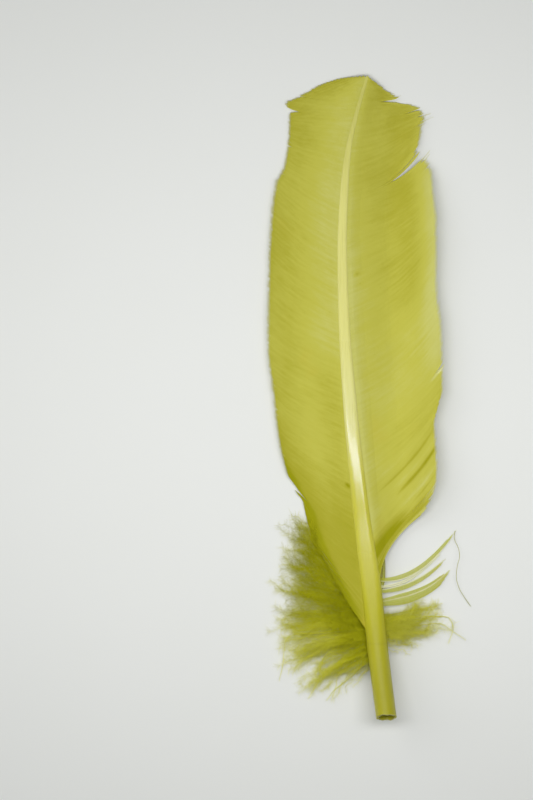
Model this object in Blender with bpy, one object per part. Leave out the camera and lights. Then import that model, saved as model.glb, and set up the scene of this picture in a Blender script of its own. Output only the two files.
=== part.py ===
"""A dyed turkey tail feather, lying with its grooved underside up.

+Y runs from the cut end of the quill to the tip, X runs across the vanes and +Z is up.
The shaft, both vanes, the loose strands and the downy locks grew as one piece, so each is
modelled on its own and all of them are then fused into one solid.

While it is made, a place on the feather is (across, along) in metres, with the cut end at
along = 0. The finished solid is moved so that its origin is the middle of its base.
"""
import math

import bmesh
import bpy
import numpy as np
from mathutils import Vector

MM = 0.001

# Driving dimensions of the shaft
LENGTH = 250 * MM
BORE_WIDTH = 6.0 * MM
BORE_DEPTH = 25 * MM
CUT_SLANT = 0.12
FLAT_FROM = 60 * MM
FLAT_TO = 200 * MM
QUILL_LIFT = 9.0 * MM
TIP_LIFT = 2.0 * MM
DEPTH_OF_WIDTH = 0.82
GROOVE_OF_DEPTH = 0.07
SHAFT_SIDES = 16
SHAFT_RINGS = 32

# The shaft in millimetres: along, across and width
SHAFT = (
    (0, 7.2, 7.9), (30, 3.6, 8.1), (52, 1.3, 8.2), (80, -2.4, 7.1), (120, -6.6, 6.1),
    (160, -9.3, 4.9), (185, -9.8, 4.4), (208, -8.8, 3.9), (223, -7.1, 3.0),
    (237, -3.8, 2.0), (250, 0.0, 1.2),
)

# Driving dimensions of the vanes
VANE_THICK = 0.6 * MM
EDGE_THICK = 0.4 * MM
ROOT_IN_SHAFT = 0.36
ROOT_HEIGHT = 0.50
DIP_END = 17 * MM
CURL_START = 14 * MM
CURL_FULL = 36 * MM
CURL_HEIGHT = 8 * MM
TIP_FLATTENS = (200 * MM, 240 * MM)
FLAT_PAST = 10 * MM
FOOT_ENDS = (95 * MM, 140 * MM)
FOOT_SLOPE = (3 * MM, 28 * MM)
FOOT_HEIGHT = 5 * MM
BARB_CROWN = 0.5 * MM
BARB_STEPS = 8
EDGE_NICK = 0.03

# Barbs of each vane: where they leave the shaft (along), where they end (across, along), in
# millimetres, and their lean from straight up the feather at the shaft and at the tip, in degrees
LEFT_BARBS = (
    (34.3, -23.0, 76.0, 34, 14), (55.8, -24.2, 80.3, 44, 20), (67.5, -26.0, 87.0, 54, 34),
    (73.3, -31.4, 94.8, 58, 42), (92.0, -35.3, 110.8, 62, 44), (112.3, -37.4, 129.1, 66, 46),
    (128.7, -39.3, 145.1, 68, 48), (161.8, -38.8, 180.2, 66, 48), (191.1, -36.3, 208.3, 64, 50),
    (204.0, -32.8, 215.7, 66, 56), (225.0, -31.0, 229.7, 76, 70), (230.1, -31.0, 233.2, 80, 76),
    (233.4, -30.8, 235.6, 84, 80), (236.0, -32.4, 239.1, 88, 82), (240.6, -25.4, 243.2, 88, 80),
    (244.5, -17.6, 247.3, 86, 78), (247.3, -9.0, 249.6, 84, 76), (249.2, -2.0, 250.0, 80, 76),
)
RIGHT_BARBS = (
    (49.1, 21.8, 80.0, -4, 52), (52.4, 24.0, 84.0, 4, 44), (55.8, 25.6, 87.4, 14, 38),
    (60.5, 26.7, 91.6, 27, 33), (67.5, 27.2, 98.0, 38, 28), (85.8, 26.5, 115.8, 52, 30),
    (103.7, 29.6, 131.4, 60, 32), (120.9, 29.2, 150.5, 66, 34), (143.5, 27.2, 172.0, 68, 34),
    (163.0, 27.3, 190.7, 69, 35), (186.4, 26.0, 206.6, 72, 36), (193.0, 25.5, 212.2, 74, 37),
    (197.6, 24.5, 215.6, 75, 37), (201.8, 22.8, 219.0, 76, 38), (203.4, 19.0, 220.2, 76, 40),
    (207.5, 20.4, 223.8, 77, 43), (212.0, 21.3, 228.0, 79, 48), (217.5, 21.6, 231.2, 81, 56),
    (223.5, 22.7, 233.6, 84, 62), (228.0, 21.8, 236.0, 85, 70), (232.8, 20.0, 238.3, 85, 76),
    (239.5, 13.0, 240.6, 86, 80), (244.5, 7.8, 244.5, 84, 80), (249.2, 0.8, 249.4, 82, 80),
)
LEFT_LOCKS = 27
RIGHT_LOCKS = 25

# Splits of each vane: where their barb leaves the shaft, the share of the barb that stays
# closed, and how wide the split is at the edge, all lengths in millimetres
LEFT_SPLITS = ((70, 0.74, 2.6), (216, 0.86, 1.0), (234.6, 0.80, 2.4))
RIGHT_SPLITS = ((110.5, 0.82, 1.6), (202.6, 0.52, 2.4), (240.2, 0.42, 2.2))

# Loose strands and downy locks in millimetres and degrees: where they leave the shaft, where
# they end (across, along), their lean at the shaft and at the tip, their width and thickness
LOCKS = (
    (54.0, 34.8, 73.4, 96, 38, 2.0, 1.0), (49.4, 30.6, 62.2, 88, 44, 2.2, 1.0),
    (45.0, 32.2, 58.0, 84, 36, 4.2, 1.2), (41.3, 29.6, 45.4, 98, 50, 5.6, 1.8),
    (37.8, 38.8, 30.8, 86, 122, 5.0, 1.6), (35.0, 31.6, 35.6, 96, 78, 5.6, 1.8),
    (31.6, 25.0, 28.6, 100, 84, 5.8, 1.8), (28.4, 18.6, 22.4, 112, 96, 5.2, 1.6),
    (55.0, -31.6, 81.0, -28, -42, 5.0, 1.8), (51.0, -30.4, 75.0, -40, -52, 5.6, 1.8),
    (48.6, -30.4, 68.4, -50, -58, 6.2, 1.8), (46.2, -32.2, 62.0, -58, -66, 6.4, 1.8),
    (43.8, -34.0, 55.4, -70, -60, 6.6, 1.8), (41.2, -35.8, 47.4, -74, -86, 6.8, 1.8),
    (38.6, -37.4, 39.0, -92, -80, 7.0, 1.8), (36.0, -35.2, 31.2, -84, -112, 7.0, 1.8),
    (33.4, -35.4, 21.4, -104, -122, 6.8, 1.6), (31.0, -27.6, 18.4, -98, -142, 6.6, 1.6),
    (28.8, -29.4, 11.6, -118, -104, 5.8, 1.6), (26.6, -22.4, 7.8, -112, -166, 5.4, 1.4),
    (24.6, -15.4, 6.8, -120, -150, 4.8, 1.4), (22.8, -9.6, 10.6, -124, -170, 4.4, 1.2),
)
LOCK_STEPS = 7
SMALLEST_EDGE = 0.01 * MM


def smooth(rows, at):
    """Reads a smooth curve through rows that start with their place."""
    table = np.array(rows, float)
    place, values = table[:, 0], table[:, 1:]
    secants = np.diff(values, axis=0) / np.diff(place)[:, None]
    before, after = secants[:-1], secants[1:]
    steady = before * after > 0
    total = np.where(steady, before + after, 1)
    slopes = np.vstack([secants[:1], np.where(steady, 2 * before * after / total, 0), secants[-1:]])
    i = int(np.clip(np.searchsorted(place, at) - 1, 0, len(place) - 2))
    step = place[i + 1] - place[i]
    t = float(np.clip((at - place[i]) / step, 0, 1))
    ends = (2 * t**3 - 3 * t**2 + 1) * values[i] + (3 * t**2 - 2 * t**3) * values[i + 1]
    pulls = (t**3 - 2 * t**2 + t) * slopes[i] + (t**3 - t**2) * slopes[i + 1]
    return [float(value) for value in ends + step * pulls]


def ease(value, start, end):
    """Rises smoothly from 0 at start to 1 at end."""
    t = min(max((value - start) / (end - start), 0), 1)
    return t * t * (3 - 2 * t)


def underside(along):
    """Height of the shaft's lower face: flat in the middle, with both ends bowed up."""
    if along < FLAT_FROM:
        return QUILL_LIFT * (1 - along / FLAT_FROM) ** 2
    if along > FLAT_TO:
        return TIP_LIFT * ((along - FLAT_TO) / (LENGTH - FLAT_TO)) ** 2
    return 0.0


def shaft_at(along):
    """Middle of the shaft's underside, its sideways and upward directions and its width."""
    across, width = (value * MM for value in smooth(SHAFT, along / MM))
    step = 0.5 * MM
    ahead = smooth(SHAFT, (along + step) / MM)[0] * MM
    behind = smooth(SHAFT, (along - step) / MM)[0] * MM
    rise = underside(along + step) - underside(along - step)
    run = Vector((ahead - behind, 2 * step, rise)).normalized()
    sideways = run.cross(Vector((0, 0, 1))).normalized()
    return Vector((across, along, underside(along))), sideways, sideways.cross(run), width


def shaft_ring(along, width, inset=0.0):
    """Outline of the shaft: round at the quill, squarer with a groove on top above it."""
    middle, sideways, upward, _ = shaft_at(along)
    ridge = ease(along, 0.4 * FLAT_FROM, FLAT_FROM)
    depth = width * (1 + (DEPTH_OF_WIDTH - 1) * ridge)
    power = 1 - 0.4 * ridge
    forward = upward.cross(sideways)
    ring = []
    for k in range(SHAFT_SIDES):
        angle = 2 * math.pi * k / SHAFT_SIDES
        side = math.copysign(abs(math.cos(angle)) ** power, math.cos(angle))
        height = math.copysign(abs(math.sin(angle)) ** power, math.sin(angle))
        level = (0.5 + 0.5 * height) * depth
        if height > 0.999:
            level -= GROOVE_OF_DEPTH * depth * ridge
        level = max(level - 0.03 * ridge * depth, 0) + inset
        slant = CUT_SLANT * level * (1 - ease(along, 0, 0.2 * FLAT_FROM))
        ring.append(middle + side * width / 2 * sideways + level * upward + slant * forward)
    return ring


def add_mesh(name, points, faces):
    """Makes an object of a closed mesh and turns its faces outwards."""
    shape = bmesh.new()
    corners = [shape.verts.new(point) for point in points]
    for face in faces:
        shape.faces.new([corners[k] for k in face])
    bmesh.ops.recalc_face_normals(shape, faces=shape.faces)
    mesh = bpy.data.meshes.new(name)
    shape.to_mesh(mesh)
    shape.free()
    made = bpy.data.objects.new(name, mesh)
    bpy.context.scene.collection.objects.link(made)
    return made


def add_loft(name, rings, start, end):
    """Skins a row of rings and closes it with a point at each end."""
    sides = len(rings[0])
    points = [start] + [point for ring in rings for point in ring] + [end]
    last = len(points) - 1
    faces = [(0, 1 + (k + 1) % sides, 1 + k) for k in range(sides)]
    for i in range(len(rings) - 1):
        low, high = 1 + i * sides, 1 + (i + 1) * sides
        for k in range(sides):
            after = (k + 1) % sides
            faces.append((low + k, low + after, high + after, high + k))
    top = 1 + (len(rings) - 1) * sides
    faces += [(top + k, top + (k + 1) % sides, last) for k in range(sides)]
    return add_mesh(name, points, faces)


def make_shaft():
    """The shaft from its cut open end, where the hollow starts, to its thin tip."""
    wall = (smooth(SHAFT, 0)[1] * MM - BORE_WIDTH) / 2
    hollow = ((BORE_DEPTH, 0.6 * BORE_WIDTH), (0.8 * BORE_DEPTH, BORE_WIDTH), (0, BORE_WIDTH))
    inner = [shaft_ring(along, width, wall) for along, width in hollow]
    places = [LENGTH * k / SHAFT_RINGS for k in range(SHAFT_RINGS + 1)]
    outer = [shaft_ring(along, shaft_at(along)[3]) for along in places]
    bore_end = sum(inner[0], Vector()) / SHAFT_SIDES + Vector((0, 0.1 * BORE_DEPTH, 0))
    tip = sum(outer[-1], Vector()) / SHAFT_SIDES + Vector((0, 0.4 * MM, 0))
    return add_loft("feather", inner + outer, bore_end, tip)


def bow(root, tip, start_lean, end_lean):
    """A curved way from root to tip that leaves and arrives at the given leans."""
    reach = (tip - root).length
    leave = root + 0.4 * reach * Vector((math.sin(start_lean), math.cos(start_lean)))
    arrive = tip - 0.35 * reach * Vector((math.sin(end_lean), math.cos(end_lean)))

    def at(t):
        near = (1 - t) ** 3 * root + 3 * t * (1 - t) ** 2 * leave
        return near + 3 * t * t * (1 - t) * arrive + t**3 * tip

    return at


def vane_height(place):
    """Height of a vane's lower face: it dips from the shaft to rest, then curls up. It lies
    flatter near the tip, and the foot of the right vane rises higher."""
    middle, _, _, width = shaft_at(min(max(place.y, 0), LENGTH))
    outside = abs(place.x - middle.x) - width / 2
    dip = ROOT_HEIGHT * width * DEPTH_OF_WIDTH * (1 - ease(outside, -width / 6, DIP_END))
    curl = max(outside - CURL_START, 0) / (CURL_FULL - CURL_START)
    near_tip = ease(place.y, *TIP_FLATTENS) * ease(outside, 0, FLAT_PAST)
    past = max(place.x - middle.x - width / 2, 0)
    foot = FOOT_HEIGHT * (1 - ease(place.y, *FOOT_ENDS)) * ease(past, *FOOT_SLOPE)
    return dip + foot + (1 - 0.8 * near_tip) * (middle.z + CURL_HEIGHT * curl * curl)


def barb(rows, side, along):
    """The way of one barb in plan, from inside the shaft to the vane's edge."""
    tip_across, tip_along, start_lean, end_lean = smooth(rows, along / MM)
    middle, sideways, _, width = shaft_at(along)
    root = (middle + side * ROOT_IN_SHAFT * width * sideways).to_2d()
    tip = Vector((tip_across, tip_along)) * MM
    return bow(root, tip, side * math.radians(start_lean), side * math.radians(end_lean))


def vane_lines(rows, count, splits):
    """Places along the shaft where the edges and the middles of the locks leave it, and the
    split at each of them, if any."""
    first, last = rows[0][0] * MM, rows[-1][0] * MM
    places = [first + (last - first) * k / (2 * count) for k in range(2 * count + 1)]
    split_at = {}
    for along, closed, opening in splits:
        k = 2 * round((along * MM - first) / (last - first) * count)
        places[k] = along * MM
        split_at[k] = closed, opening * MM
    return places, split_at


def add_vane(name, rows, side, count, splits):
    """One vane: a thin sheet of locks that are grown together, and apart along the splits."""
    places, split_at = vane_lines(rows, count, splits)
    top, bottom, quads = {}, {}, []

    def corner(k, j, lower_lock):
        closed, opening = split_at.get(k, (1, 0))
        t = j / BARB_STEPS
        apart = max(t - closed, 0) / (1 - closed) if k in split_at else 0
        key = (k, j, lower_lock and apart > 0)
        if key not in top:
            nick = 1 - EDGE_NICK if k % 2 == 0 else 1
            place = barb(rows, side, places[k])(t * nick)
            place.y += (-0.5 if lower_lock else 0.5) * apart * opening
            level = vane_height(place)
            thick = VANE_THICK + (EDGE_THICK - VANE_THICK) * t
            crown = BARB_CROWN * (k % 2) * ease(t, 0, 0.3)
            bottom[key] = Vector((place.x, place.y, level))
            top[key] = Vector((place.x, place.y, level + thick + crown))
        return key

    for k in range(len(places) - 1):
        for j in range(BARB_STEPS):
            quads.append((
                corner(k, j, False), corner(k, j + 1, False),
                corner(k + 1, j + 1, True), corner(k + 1, j, True),
            ))
    return add_sheet(name, quads, top, bottom)


def add_sheet(name, quads, top, bottom):
    """Closes a sheet of quads with its lower face and a wall along every open edge."""
    order = {key: i for i, key in enumerate(top)}
    count = len(order)
    upper = [tuple(order[key] for key in quad) for quad in quads]
    faces = list(upper)
    faces += [tuple(k + count for k in reversed(quad)) for quad in upper]
    ways = {(quad[i], quad[(i + 1) % 4]) for quad in upper for i in range(4)}
    faces += [(b, a, a + count, b + count) for a, b in ways if (b, a) not in ways]
    return add_mesh(name, list(top.values()) + list(bottom.values()), sorted(faces))


def add_lock(name, row):
    """A loose strand or downy lock: a flattened, pointed tuft from the shaft to the table."""
    along, tip_across, tip_along, start_lean, end_lean, width, thick = row
    middle, sideways, _, shaft_width = shaft_at(along * MM)
    side = 1 if tip_across > middle.x / MM else -1
    root = (middle + side * 0.25 * shaft_width * sideways).to_2d()
    tip = Vector((tip_across, tip_along)) * MM
    way = bow(root, tip, math.radians(start_lean), math.radians(end_lean))
    start_height = middle.z + 0.3 * shaft_width
    rings = []
    for k in range(LOCK_STEPS):
        t = k / LOCK_STEPS
        place, ahead = way(t), way(t + 0.01)
        across = (ahead - place).normalized().orthogonal()
        fill = math.sqrt(1 - t * t) * (0.6 + 0.4 * ease(t, 0, 0.3))
        half_width, half_thick = fill * width * MM / 2, fill * thick * MM / 2
        level = half_thick + 0.2 * MM + start_height * (1 - ease(t, 0, 0.7))
        edge = Vector((across.x, across.y, 0)) * half_width
        ridge = Vector((0, 0, half_thick))
        centre = Vector((place.x, place.y, level))
        rings.append([centre + edge, centre + ridge, centre - edge, centre - ridge])
    start = Vector((root.x, root.y, start_height)) - Vector((side * 0.5 * MM, 0, 0))
    return add_loft(name, rings, start, Vector((tip.x, tip.y, 0.4 * MM)))


def fuse(base, others):
    """Joins the others to the base as one solid."""
    for other in others:
        other.display_type = "WIRE"
        other.hide_render = True
        union = base.modifiers.new("grown to " + other.name, "BOOLEAN")
        union.operation = "UNION"
        union.solver = "EXACT"
        union.object = other
    graph = bpy.context.evaluated_depsgraph_get()
    joined = bpy.data.meshes.new_from_object(base.evaluated_get(graph))
    base.modifiers.clear()
    weld(joined)
    base.data = joined
    for other in others:
        bpy.data.objects.remove(other)


def weld(mesh):
    """Closes the hair-thin faces that the cuts between the pieces leave."""
    shape = bmesh.new()
    shape.from_mesh(mesh)
    bmesh.ops.dissolve_degenerate(shape, dist=SMALLEST_EDGE, edges=shape.edges)
    bmesh.ops.triangulate(shape, faces=[face for face in shape.faces if len(face.verts) > 4])
    shape.to_mesh(mesh)
    shape.free()


def stand_on_base(made):
    """Moves the mesh so that the origin is the middle of its base."""
    points = np.array([vertex.co for vertex in made.data.vertices])
    low, high = points.min(axis=0), points.max(axis=0)
    for vertex in made.data.vertices:
        vertex.co -= Vector(((low[0] + high[0]) / 2, (low[1] + high[1]) / 2, low[2]))


def keratin():
    """Dyed horn of the shaft and barbs."""
    material = bpy.data.materials.new("keratin")
    material.use_nodes = True
    shader = material.node_tree.nodes["Principled BSDF"]
    shader.inputs["Base Color"].default_value = (0.48, 0.47, 0.07, 1)
    shader.inputs["Roughness"].default_value = 0.55
    shader.inputs["Metallic"].default_value = 0.0
    return material


for old in list(bpy.data.objects):
    bpy.data.objects.remove(old)
feather = make_shaft()
grown = [
    add_vane("left vane", LEFT_BARBS, -1, LEFT_LOCKS, LEFT_SPLITS),
    add_vane("right vane", RIGHT_BARBS, 1, RIGHT_LOCKS, RIGHT_SPLITS),
]
grown += [add_lock(f"lock {k + 1}", row) for k, row in enumerate(LOCKS)]
fuse(feather, grown)
stand_on_base(feather)
feather.data.materials.clear()
feather.data.materials.append(keratin())
feather.data.shade_smooth()
feather.data.set_sharp_from_angle(angle=math.radians(35))
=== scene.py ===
import math

import bmesh
import bpy
import numpy as np
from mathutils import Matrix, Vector


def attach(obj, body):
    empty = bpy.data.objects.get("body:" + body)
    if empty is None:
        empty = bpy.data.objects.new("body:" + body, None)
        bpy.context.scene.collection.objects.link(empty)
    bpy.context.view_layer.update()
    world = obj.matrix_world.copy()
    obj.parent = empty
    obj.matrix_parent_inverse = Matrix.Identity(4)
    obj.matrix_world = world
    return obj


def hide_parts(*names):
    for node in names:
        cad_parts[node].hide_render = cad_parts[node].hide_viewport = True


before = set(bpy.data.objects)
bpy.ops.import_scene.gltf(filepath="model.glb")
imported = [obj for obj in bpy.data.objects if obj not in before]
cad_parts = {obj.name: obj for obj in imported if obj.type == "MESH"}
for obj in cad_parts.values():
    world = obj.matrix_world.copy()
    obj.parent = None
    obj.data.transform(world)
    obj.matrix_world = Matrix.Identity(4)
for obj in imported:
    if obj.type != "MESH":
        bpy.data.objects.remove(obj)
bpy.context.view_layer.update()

# The shaft, a horn tube that is open where the quill was cut and turns into a solid ridge with
# a shallow groove above it. It is grown horn, dyed through and polished by handling. Places on
# it are (across, along, height) in millimetres, with the cut end at along = 0.
LENGTH = 250
# Rows of the place along the shaft, how far across its middle lies there, and its width
SHAFT = np.array((
    (0, 7.2, 7.9), (30, 3.6, 8.1), (52, 1.3, 8.2), (80, -2.4, 7.1), (120, -6.6, 6.1),
    (160, -9.3, 4.9), (185, -9.8, 4.4), (208, -8.8, 3.9), (223, -7.1, 3.0),
    (237, -3.8, 2.0), (250, 0.0, 1.2),
))
FLAT_FROM, FLAT_TO = 60, 200
QUILL_LIFT, TIP_LIFT = 9.0, 2.0
BORE_WIDTH, BORE_DEPTH = 6.0, 25
CUT_SLANT, CUT_ROUGHNESS, CUT_REACH = 0.12, 0.12, 12
ROUND_TO, SQUARENESS = 24, 0.4
DEPTH_OF_WIDTH, FLATTENED_BELOW = 0.82, 0.03
GROOVE_OF_DEPTH, GROOVE_HALF_WIDTH = 0.015, 0.22
BORE_POINT, TIP_POINT = 2.5, 0.4
SHAFT_SIDES, SHAFT_RINGS, CLOSER_AT_QUILL = 48, 200, 1.15
SHARP_ANGLE = math.radians(50)
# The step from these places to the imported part's, both in millimetres
TO_FRAME = np.array((0.24, -125.18, 0))
MM_IN_METRE = 1000


def smooth(rows, at):
    """Reads smooth curves, at many places, through rows that start with their place."""
    rows = np.asarray(rows, float)
    place, values = rows[:, 0], rows[:, 1:]
    secants = np.diff(values, axis=0) / np.diff(place)[:, None]
    before, after = secants[:-1], secants[1:]
    steady = before * after > 0
    total = np.where(steady, before + after, 1)
    slopes = np.vstack([secants[:1], np.where(steady, 2 * before * after / total, 0), secants[-1:]])
    i = np.clip(np.searchsorted(place, at) - 1, 0, len(place) - 2)
    step = (place[i + 1] - place[i])[..., None]
    t = np.clip((at - place[i])[..., None] / step, 0, 1)
    ends = (2 * t**3 - 3 * t**2 + 1) * values[i] + (3 * t**2 - 2 * t**3) * values[i + 1]
    pulls = (t**3 - 2 * t**2 + t) * slopes[i] + (t**3 - t**2) * slopes[i + 1]
    return np.moveaxis(ends + step * pulls, -1, 0)


def ease(value, start, end):
    """Rises smoothly from 0 at start to 1 at end."""
    t = np.clip((value - start) / (end - start), 0, 1)
    return t * t * (3 - 2 * t)


def within(value, come, full, fade, gone):
    """Rises smoothly from 0 at come to 1 at full, and falls from 1 at fade to 0 at gone."""
    return ease(value, come, full) * (1 - ease(value, fade, gone))


def unit(vectors):
    """Vectors of length 1 in the same directions."""
    return vectors / np.linalg.norm(vectors, axis=-1, keepdims=True)


def shaft_line(along):
    """Middle of the shaft's lower face: flat in the middle, with both ends bowed up."""
    quill = QUILL_LIFT * np.clip(1 - along / FLAT_FROM, 0, None) ** 2
    tip = TIP_LIFT * np.clip((along - FLAT_TO) / (LENGTH - FLAT_TO), 0, None) ** 2
    return np.stack([smooth(SHAFT, along)[0], along, quill + tip], -1)


def shaft_at(along):
    """Middle of the shaft's lower face, its sideways and upward directions and its width."""
    run = unit(shaft_line(along + 0.5) - shaft_line(along - 0.5))
    sideways = unit(np.cross(run, (0, 0, 1)))
    return shaft_line(along), sideways, np.cross(sideways, run), smooth(SHAFT, along)[1]


def shaft_rings(along, width, inset=0.0):
    """Outlines of the shaft: round at the quill and squarer above it, with a groove on top."""
    middle, sideways, upward, _ = (value[:, None] for value in shaft_at(along))
    along, width = along[:, None], width[:, None]
    ridge = ease(along, ROUND_TO, FLAT_FROM)
    depth = width * (1 + (DEPTH_OF_WIDTH - 1) * ridge)
    angle = np.linspace(0, 2 * math.pi, SHAFT_SIDES, endpoint=False)
    power = 1 - SQUARENESS * ridge
    side = np.sign(np.cos(angle)) * np.abs(np.cos(angle)) ** power
    height = np.sign(np.sin(angle)) * np.abs(np.sin(angle)) ** power
    groove = GROOVE_OF_DEPTH * ridge * np.exp(-((side / GROOVE_HALF_WIDTH) ** 2)) * (height > 0)
    level = (0.5 + 0.5 * height - groove - FLATTENED_BELOW * ridge) * depth
    level = np.maximum(level, 0) + inset
    rough = CUT_ROUGHNESS * (np.sin(3 * angle + 1) + np.sin(7 * angle) + 0.6 * np.sin(17 * angle))
    slant = (CUT_SLANT * level + rough) * (1 - ease(along, 0, CUT_REACH))
    side, level, slant = side[..., None], level[..., None], slant[..., None]
    forward = np.cross(upward, sideways)
    return middle + side * width[..., None] / 2 * sideways + level * upward + slant * forward


def add_piece(name, points, edges=(), faces=()):
    """Makes an object of points in millimetres, with its place in its mesh."""
    mesh = bpy.data.meshes.new(name)
    mesh.from_pydata((points + TO_FRAME) / MM_IN_METRE, list(edges), list(faces))
    made = bpy.data.objects.new(name, mesh)
    bpy.context.scene.collection.objects.link(made)
    return made


def add_tube(name, rings, start, end):
    """Skins a row of rings and closes it with a point at each end."""
    count, sides = rings.shape[:2]
    points = np.vstack([start, rings.reshape(-1, 3), end])
    ring = 1 + np.arange(count * sides).reshape(count, sides)
    after = np.roll(ring, -1, axis=1)
    walls = np.stack([ring[:-1], after[:-1], after[1:], ring[1:]], -1).reshape(-1, 4).tolist()
    walls += [(0, b, a) for a, b in zip(ring[0].tolist(), after[0].tolist())]
    walls += [(len(points) - 1, a, b) for a, b in zip(ring[-1].tolist(), after[-1].tolist())]
    made = add_piece(name, points, faces=walls)
    shape = bmesh.new()
    shape.from_mesh(made.data)
    bmesh.ops.recalc_face_normals(shape, faces=shape.faces)
    shape.to_mesh(made.data)
    shape.free()
    return made


# One skin runs from the bore's inner end to the cut, turns over it and goes on to the tip
inner_along = np.array((BORE_DEPTH, 0.92 * BORE_DEPTH, 0.8 * BORE_DEPTH, 12, 6, 3, 1, 0))
inner_width = np.array((0.6, 0.86, 1, 1, 1, 1, 1, 1)) * BORE_WIDTH
wall = (SHAFT[0, 2] - BORE_WIDTH) / 2
outer_along = LENGTH * np.linspace(0, 1, SHAFT_RINGS) ** CLOSER_AT_QUILL
inner = shaft_rings(inner_along, inner_width, wall)
outer = shaft_rings(outer_along, shaft_at(outer_along)[3])
bore_end = inner[0].mean(axis=0) + (0, BORE_POINT, 0)
shaft_tip = outer[-1].mean(axis=0) + (0, TIP_POINT, 0)
shaft = add_tube("shaft", np.vstack([inner, outer]), bore_end, shaft_tip)
shaft.data.shade_smooth()
shaft.data.set_sharp_from_angle(angle=SHARP_ANGLE)


class Wire:
    """An output of a node. A sum on it adds the Math nodes that work the sum out."""

    def __init__(self, socket):
        self.socket = socket

    def node(self, kind, settings=None, values=None, output=0):
        """Adds a node, makes its settings, then fills its inputs with numbers or wires."""
        made = self.socket.id_data.nodes.new(kind)
        for name, value in (settings or {}).items():
            setattr(made, name, value)
        for name, value in (values or {}).items():
            self.feed(made, name, value)
        return Wire(made.outputs[output])

    def feed(self, node, name, value):
        """Fills one input of a node with a number, a colour or a wire."""
        socket = next(socket for socket in node.inputs if socket.identifier == name)
        if isinstance(value, Wire):
            node.id_data.links.new(value.socket, socket)
        else:
            socket.default_value = value

    def math(self, operation, *values):
        """Adds a Math node that works on up to three values."""
        names = ("Value", "Value_001", "Value_002")
        return self.node("ShaderNodeMath", {"operation": operation}, dict(zip(names, values)))

    def __add__(self, other):
        return self.math("ADD", self, other)

    def __sub__(self, other):
        return self.math("SUBTRACT", self, other)

    def __mul__(self, other):
        return self.math("MULTIPLY", self, other)

    def __radd__(self, other):
        return self.math("ADD", other, self)

    def __rsub__(self, other):
        return self.math("SUBTRACT", other, self)

    def __rmul__(self, other):
        return self.math("MULTIPLY", other, self)

    def between(self, low, high):
        """0 below low, 1 above high and a smooth rise between them."""
        values = {"Value": self, "From Min": low, "From Max": high}
        return self.node("ShaderNodeMapRange", {"interpolation_type": "SMOOTHSTEP"}, values)

    def within(self, come, full, fade, gone):
        """1 from full to fade, 0 before come and after gone, and smooth between them."""
        return self.between(come, full) * (1 - self.between(fade, gone))

    def parts(self):
        """The x, y and z of a vector."""
        split = self.node("ShaderNodeSeparateXYZ", values={"Vector": self})
        return [Wire(socket) for socket in split.socket.node.outputs]

    def stretched(self, x, y, z):
        """A vector with its x, y and z multiplied."""
        values = {"Vector": self, "Vector_001": (x, y, z)}
        return self.node("ShaderNodeVectorMath", {"operation": "MULTIPLY"}, values)

    def noise(self, scale=1, detail=2, roughness=0.5):
        """Smooth noise from 0 to 1 at this place."""
        values = {"Vector": self, "Scale": scale, "Detail": detail, "Roughness": roughness}
        return self.node("ShaderNodeTexNoise", values=values)

    def mix(self, low, high):
        """A colour that goes from low to high as this value goes from 0 to 1."""
        values = {"Factor_Float": self, "A_Color": low, "B_Color": high}
        return self.node("ShaderNodeMix", {"data_type": "RGBA"}, values, "Result")

    def bump(self, strength, distance):
        """A normal with this value as its height."""
        values = {"Height": self, "Strength": strength, "Distance": distance}
        return self.node("ShaderNodeBump", values=values)


def new_finish(name):
    """A new material, its shader and the place on the piece."""
    material = bpy.data.materials.new(name)
    material.use_nodes = True
    shader = material.node_tree.nodes["Principled BSDF"]
    place = material.node_tree.nodes.new("ShaderNodeTexCoord").outputs["Object"]
    return material, shader, Wire(place)


QUILL_OLIVE = (0.40, 0.377, 0.018, 1)
SHAFT_GREEN = (0.50, 0.475, 0.018, 1)
SHAFT_YELLOW = (0.60, 0.567, 0.065, 1)
SHAFT_CREAM = (0.75, 0.718, 0.225, 1)
SHAFT_STRAW = (0.64, 0.615, 0.148, 1)
# Painted sheen: the pale colour of the highlight's skirt near the middle of the shaft
SHAFT_PAINTED_SHEEN = (0.80, 0.785, 0.38, 1)


def horn():
    """Dyed horn: olive and slightly see-through at the quill, and cream where it is solid. A paler band
    near its middle is painted sheen, the skirt of the highlight. Stretches along it are in millimetres."""
    material, shader, place = new_finish("dyed horn with painted sheen")
    along = place.parts()[1] * MM_IN_METRE - TO_FRAME[1]
    blotch = place.stretched(160, 45, 160).noise(detail=3)
    fibres = place.stretched(3200, 55, 3200).noise(detail=3, roughness=0.6)
    along_dyed = along + (blotch - 0.5) * 20
    colour = along_dyed.between(8, 48).mix(QUILL_OLIVE, SHAFT_GREEN)
    colour = along_dyed.between(42, 66).mix(colour, SHAFT_YELLOW)
    colour = along_dyed.between(78, 150).mix(colour, SHAFT_CREAM)
    colour = along_dyed.between(195, 240).mix(colour, SHAFT_STRAW)
    # Painted sheen: a paler band near the middle stands in for the broad skirt of the shaft's highlight
    painted_sheen = along.within(90, 120, 122, 152)
    colour = (0.45 * painted_sheen).mix(colour, SHAFT_PAINTED_SHEEN)
    colour = (0.22 * fibres.between(0.45, 0.8)).mix(colour, QUILL_OLIVE)
    growth_line = along.within(29.0, 29.6, 29.8, 30.6)
    colour = (0.45 * growth_line).mix(colour, QUILL_OLIVE)
    shader.inputs["IOR"].default_value = 1.54
    shader.inputs["Subsurface Weight"].default_value = 0.35
    shader.inputs["Subsurface Radius"].default_value = (1.0, 1.0, 0.85)
    shader.inputs["Subsurface Scale"].default_value = 0.003
    place.feed(shader, "Base Color", colour)
    dull = 0.26 * along.between(100, 180) + 0.28 * (1 - along.between(50, 84))
    place.feed(shader, "Roughness", 0.10 + 0.02 * fibres + dull)
    place.feed(shader, "Normal", (0.6 * fibres + 2 * blotch).bump(0.08, 0.0002))
    return material


shaft.data.materials.append(horn())
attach(shaft, "root")
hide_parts("feather")

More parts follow.
